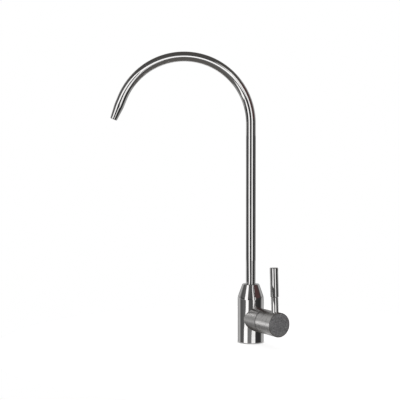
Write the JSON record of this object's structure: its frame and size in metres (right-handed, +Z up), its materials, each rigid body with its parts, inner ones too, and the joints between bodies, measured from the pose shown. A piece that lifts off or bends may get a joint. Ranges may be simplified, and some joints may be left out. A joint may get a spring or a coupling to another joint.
{
  "type": "drinking water filter tap",
  "caption": "Deck-mounted filtered water tap with a swivelling swan-neck spout and a side lever that opens a quarter-turn ceramic valve.",
  "frame": {"origin": "centre of the base face, on the axis of the shank socket", "axes": "+Z up along the column, +X along the valve barrel to the lever, -Y towards the user"},
  "size_m": [0.1236, 0.1394, 0.2965],
  "materials": {
    "polished_steel": "polished",
    "brushed_steel": "satin",
    "cap_steel": "satin",
    "spring_steel": "satin",
    "brass": "satin",
    "ceramic": "satin",
    "seal_rubber": "matte",
    "black_plastic": "matte",
    "white_plastic": "matte"
  },
  "bodies": {
    "tap_body": {"body": "polished_steel", "valve_boss": "brushed_steel", "base_o_ring": "seal_rubber", "cartridge_housing": "brass", "housing_o_ring": "seal_rubber", "seat_seal": "seal_rubber", "fixed_disc": "ceramic", "hub_glide_ring": "black_plastic", "spout_guide_ring": "white_plastic"},
    "lever": {"lever_hub": "brushed_steel", "lever_rod": "polished_steel", "hub_cap": "cap_steel", "hub_screw": "spring_steel", "spindle": "brass", "moving_disc": "ceramic", "thrust_washer": "white_plastic", "spindle_o_ring_inner": "seal_rubber", "spindle_o_ring_outer": "seal_rubber", "spindle_clip": "spring_steel", "stop_ring": "brass"},
    "spout": {"spout_tube": "polished_steel", "spout_foot": "brass", "spout_o_ring_lower": "seal_rubber", "spout_o_ring_upper": "seal_rubber", "spout_snap_ring": "spring_steel"}
  },
  "joints": [
    {"name": "lever_turn", "type": "hinge", "parent": "tap_body", "child": "lever", "pos_m": [0, 0, 0.0247], "axis": [1, 0, 0], "range_deg": [0, 90]},
    {"name": "spout_swivel", "type": "hinge", "parent": "tap_body", "child": "spout", "pos_m": [0, 0, 0], "axis": [0, 0, 1], "continuous": true}
  ]
}
